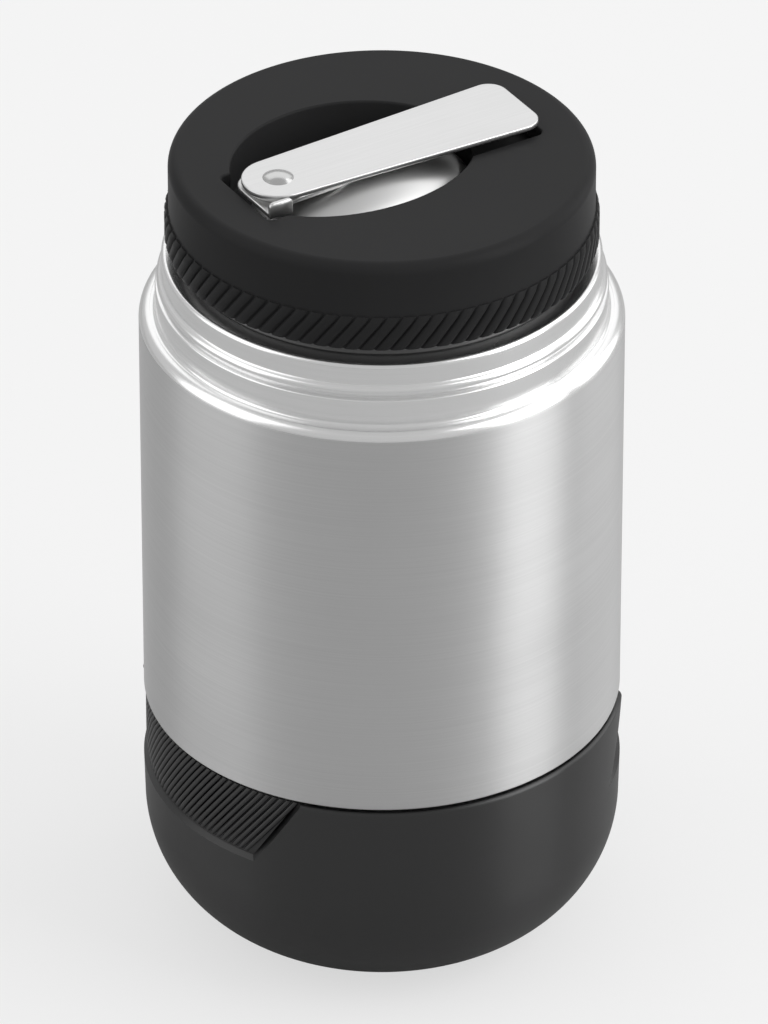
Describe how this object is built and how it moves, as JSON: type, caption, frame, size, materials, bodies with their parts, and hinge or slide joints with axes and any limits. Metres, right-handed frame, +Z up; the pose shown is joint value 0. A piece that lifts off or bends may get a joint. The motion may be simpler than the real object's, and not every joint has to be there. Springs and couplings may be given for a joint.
{
  "type": "insulated food jar",
  "caption": "Vacuum insulated food jar with brushed steel body, rubber boot, screw lid and a folding spoon stored in the lid's top.",
  "frame": {"origin": "centre of the foot, on the surface the jar stands on", "axes": "+Z up along the jar's axis, -Y towards the front"},
  "size_m": [0.0888, 0.089, 0.1632],
  "materials": {
    "steel_body": "brushed",
    "steel_inside": "satin",
    "copper_foil": "satin",
    "glue": "matte",
    "rubber": "matte",
    "lid_plastic": "satin",
    "liner_plastic": "satin",
    "foam": "matte",
    "silicone": "matte",
    "spoon_steel": "satin"
  },
  "bodies": {
    "jar": {"outer_shell": "steel_body", "inner_vessel": "steel_inside", "foil_wrap": "copper_foil", "getter": "steel_inside", "bottom_cap": "steel_inside", "vacuum_seal": "steel_inside", "boot_glue": "glue", "base_boot": "rubber"},
    "lid_seal": {"lid_gasket": "silicone"},
    "lid": {"lid_shell": "lid_plastic", "lid_liner": "liner_plastic", "lid_foam": "foam"},
    "spoon": {"spoon_bowl": "spoon_steel", "spoon_washer": "spoon_steel", "spoon_rivet": "spoon_steel"},
    "handle": {"spoon_handle": "spoon_steel"}
  },
  "joints": [
    {"name": "lid_lift", "type": "slide", "parent": "jar", "child": "lid_seal", "axis": [0, 0, 1], "range_m": [0, 0.08]},
    {"name": "lid_turn", "type": "hinge", "parent": "lid_seal", "child": "lid", "pos_m": [0, 0, 0.143], "axis": [0, 0, 1], "range_deg": [0, 450]},
    {"name": "spoon_lift", "type": "slide", "parent": "lid", "child": "spoon", "axis": [0, 0, 1], "range_m": [0, 0.06]},
    {"name": "handle_swing", "type": "hinge", "parent": "spoon", "child": "handle", "pos_m": [-0.01848, -0.01137, 0.1616], "axis": [0, 0, 1], "range_deg": [0, 180]}
  ]
}
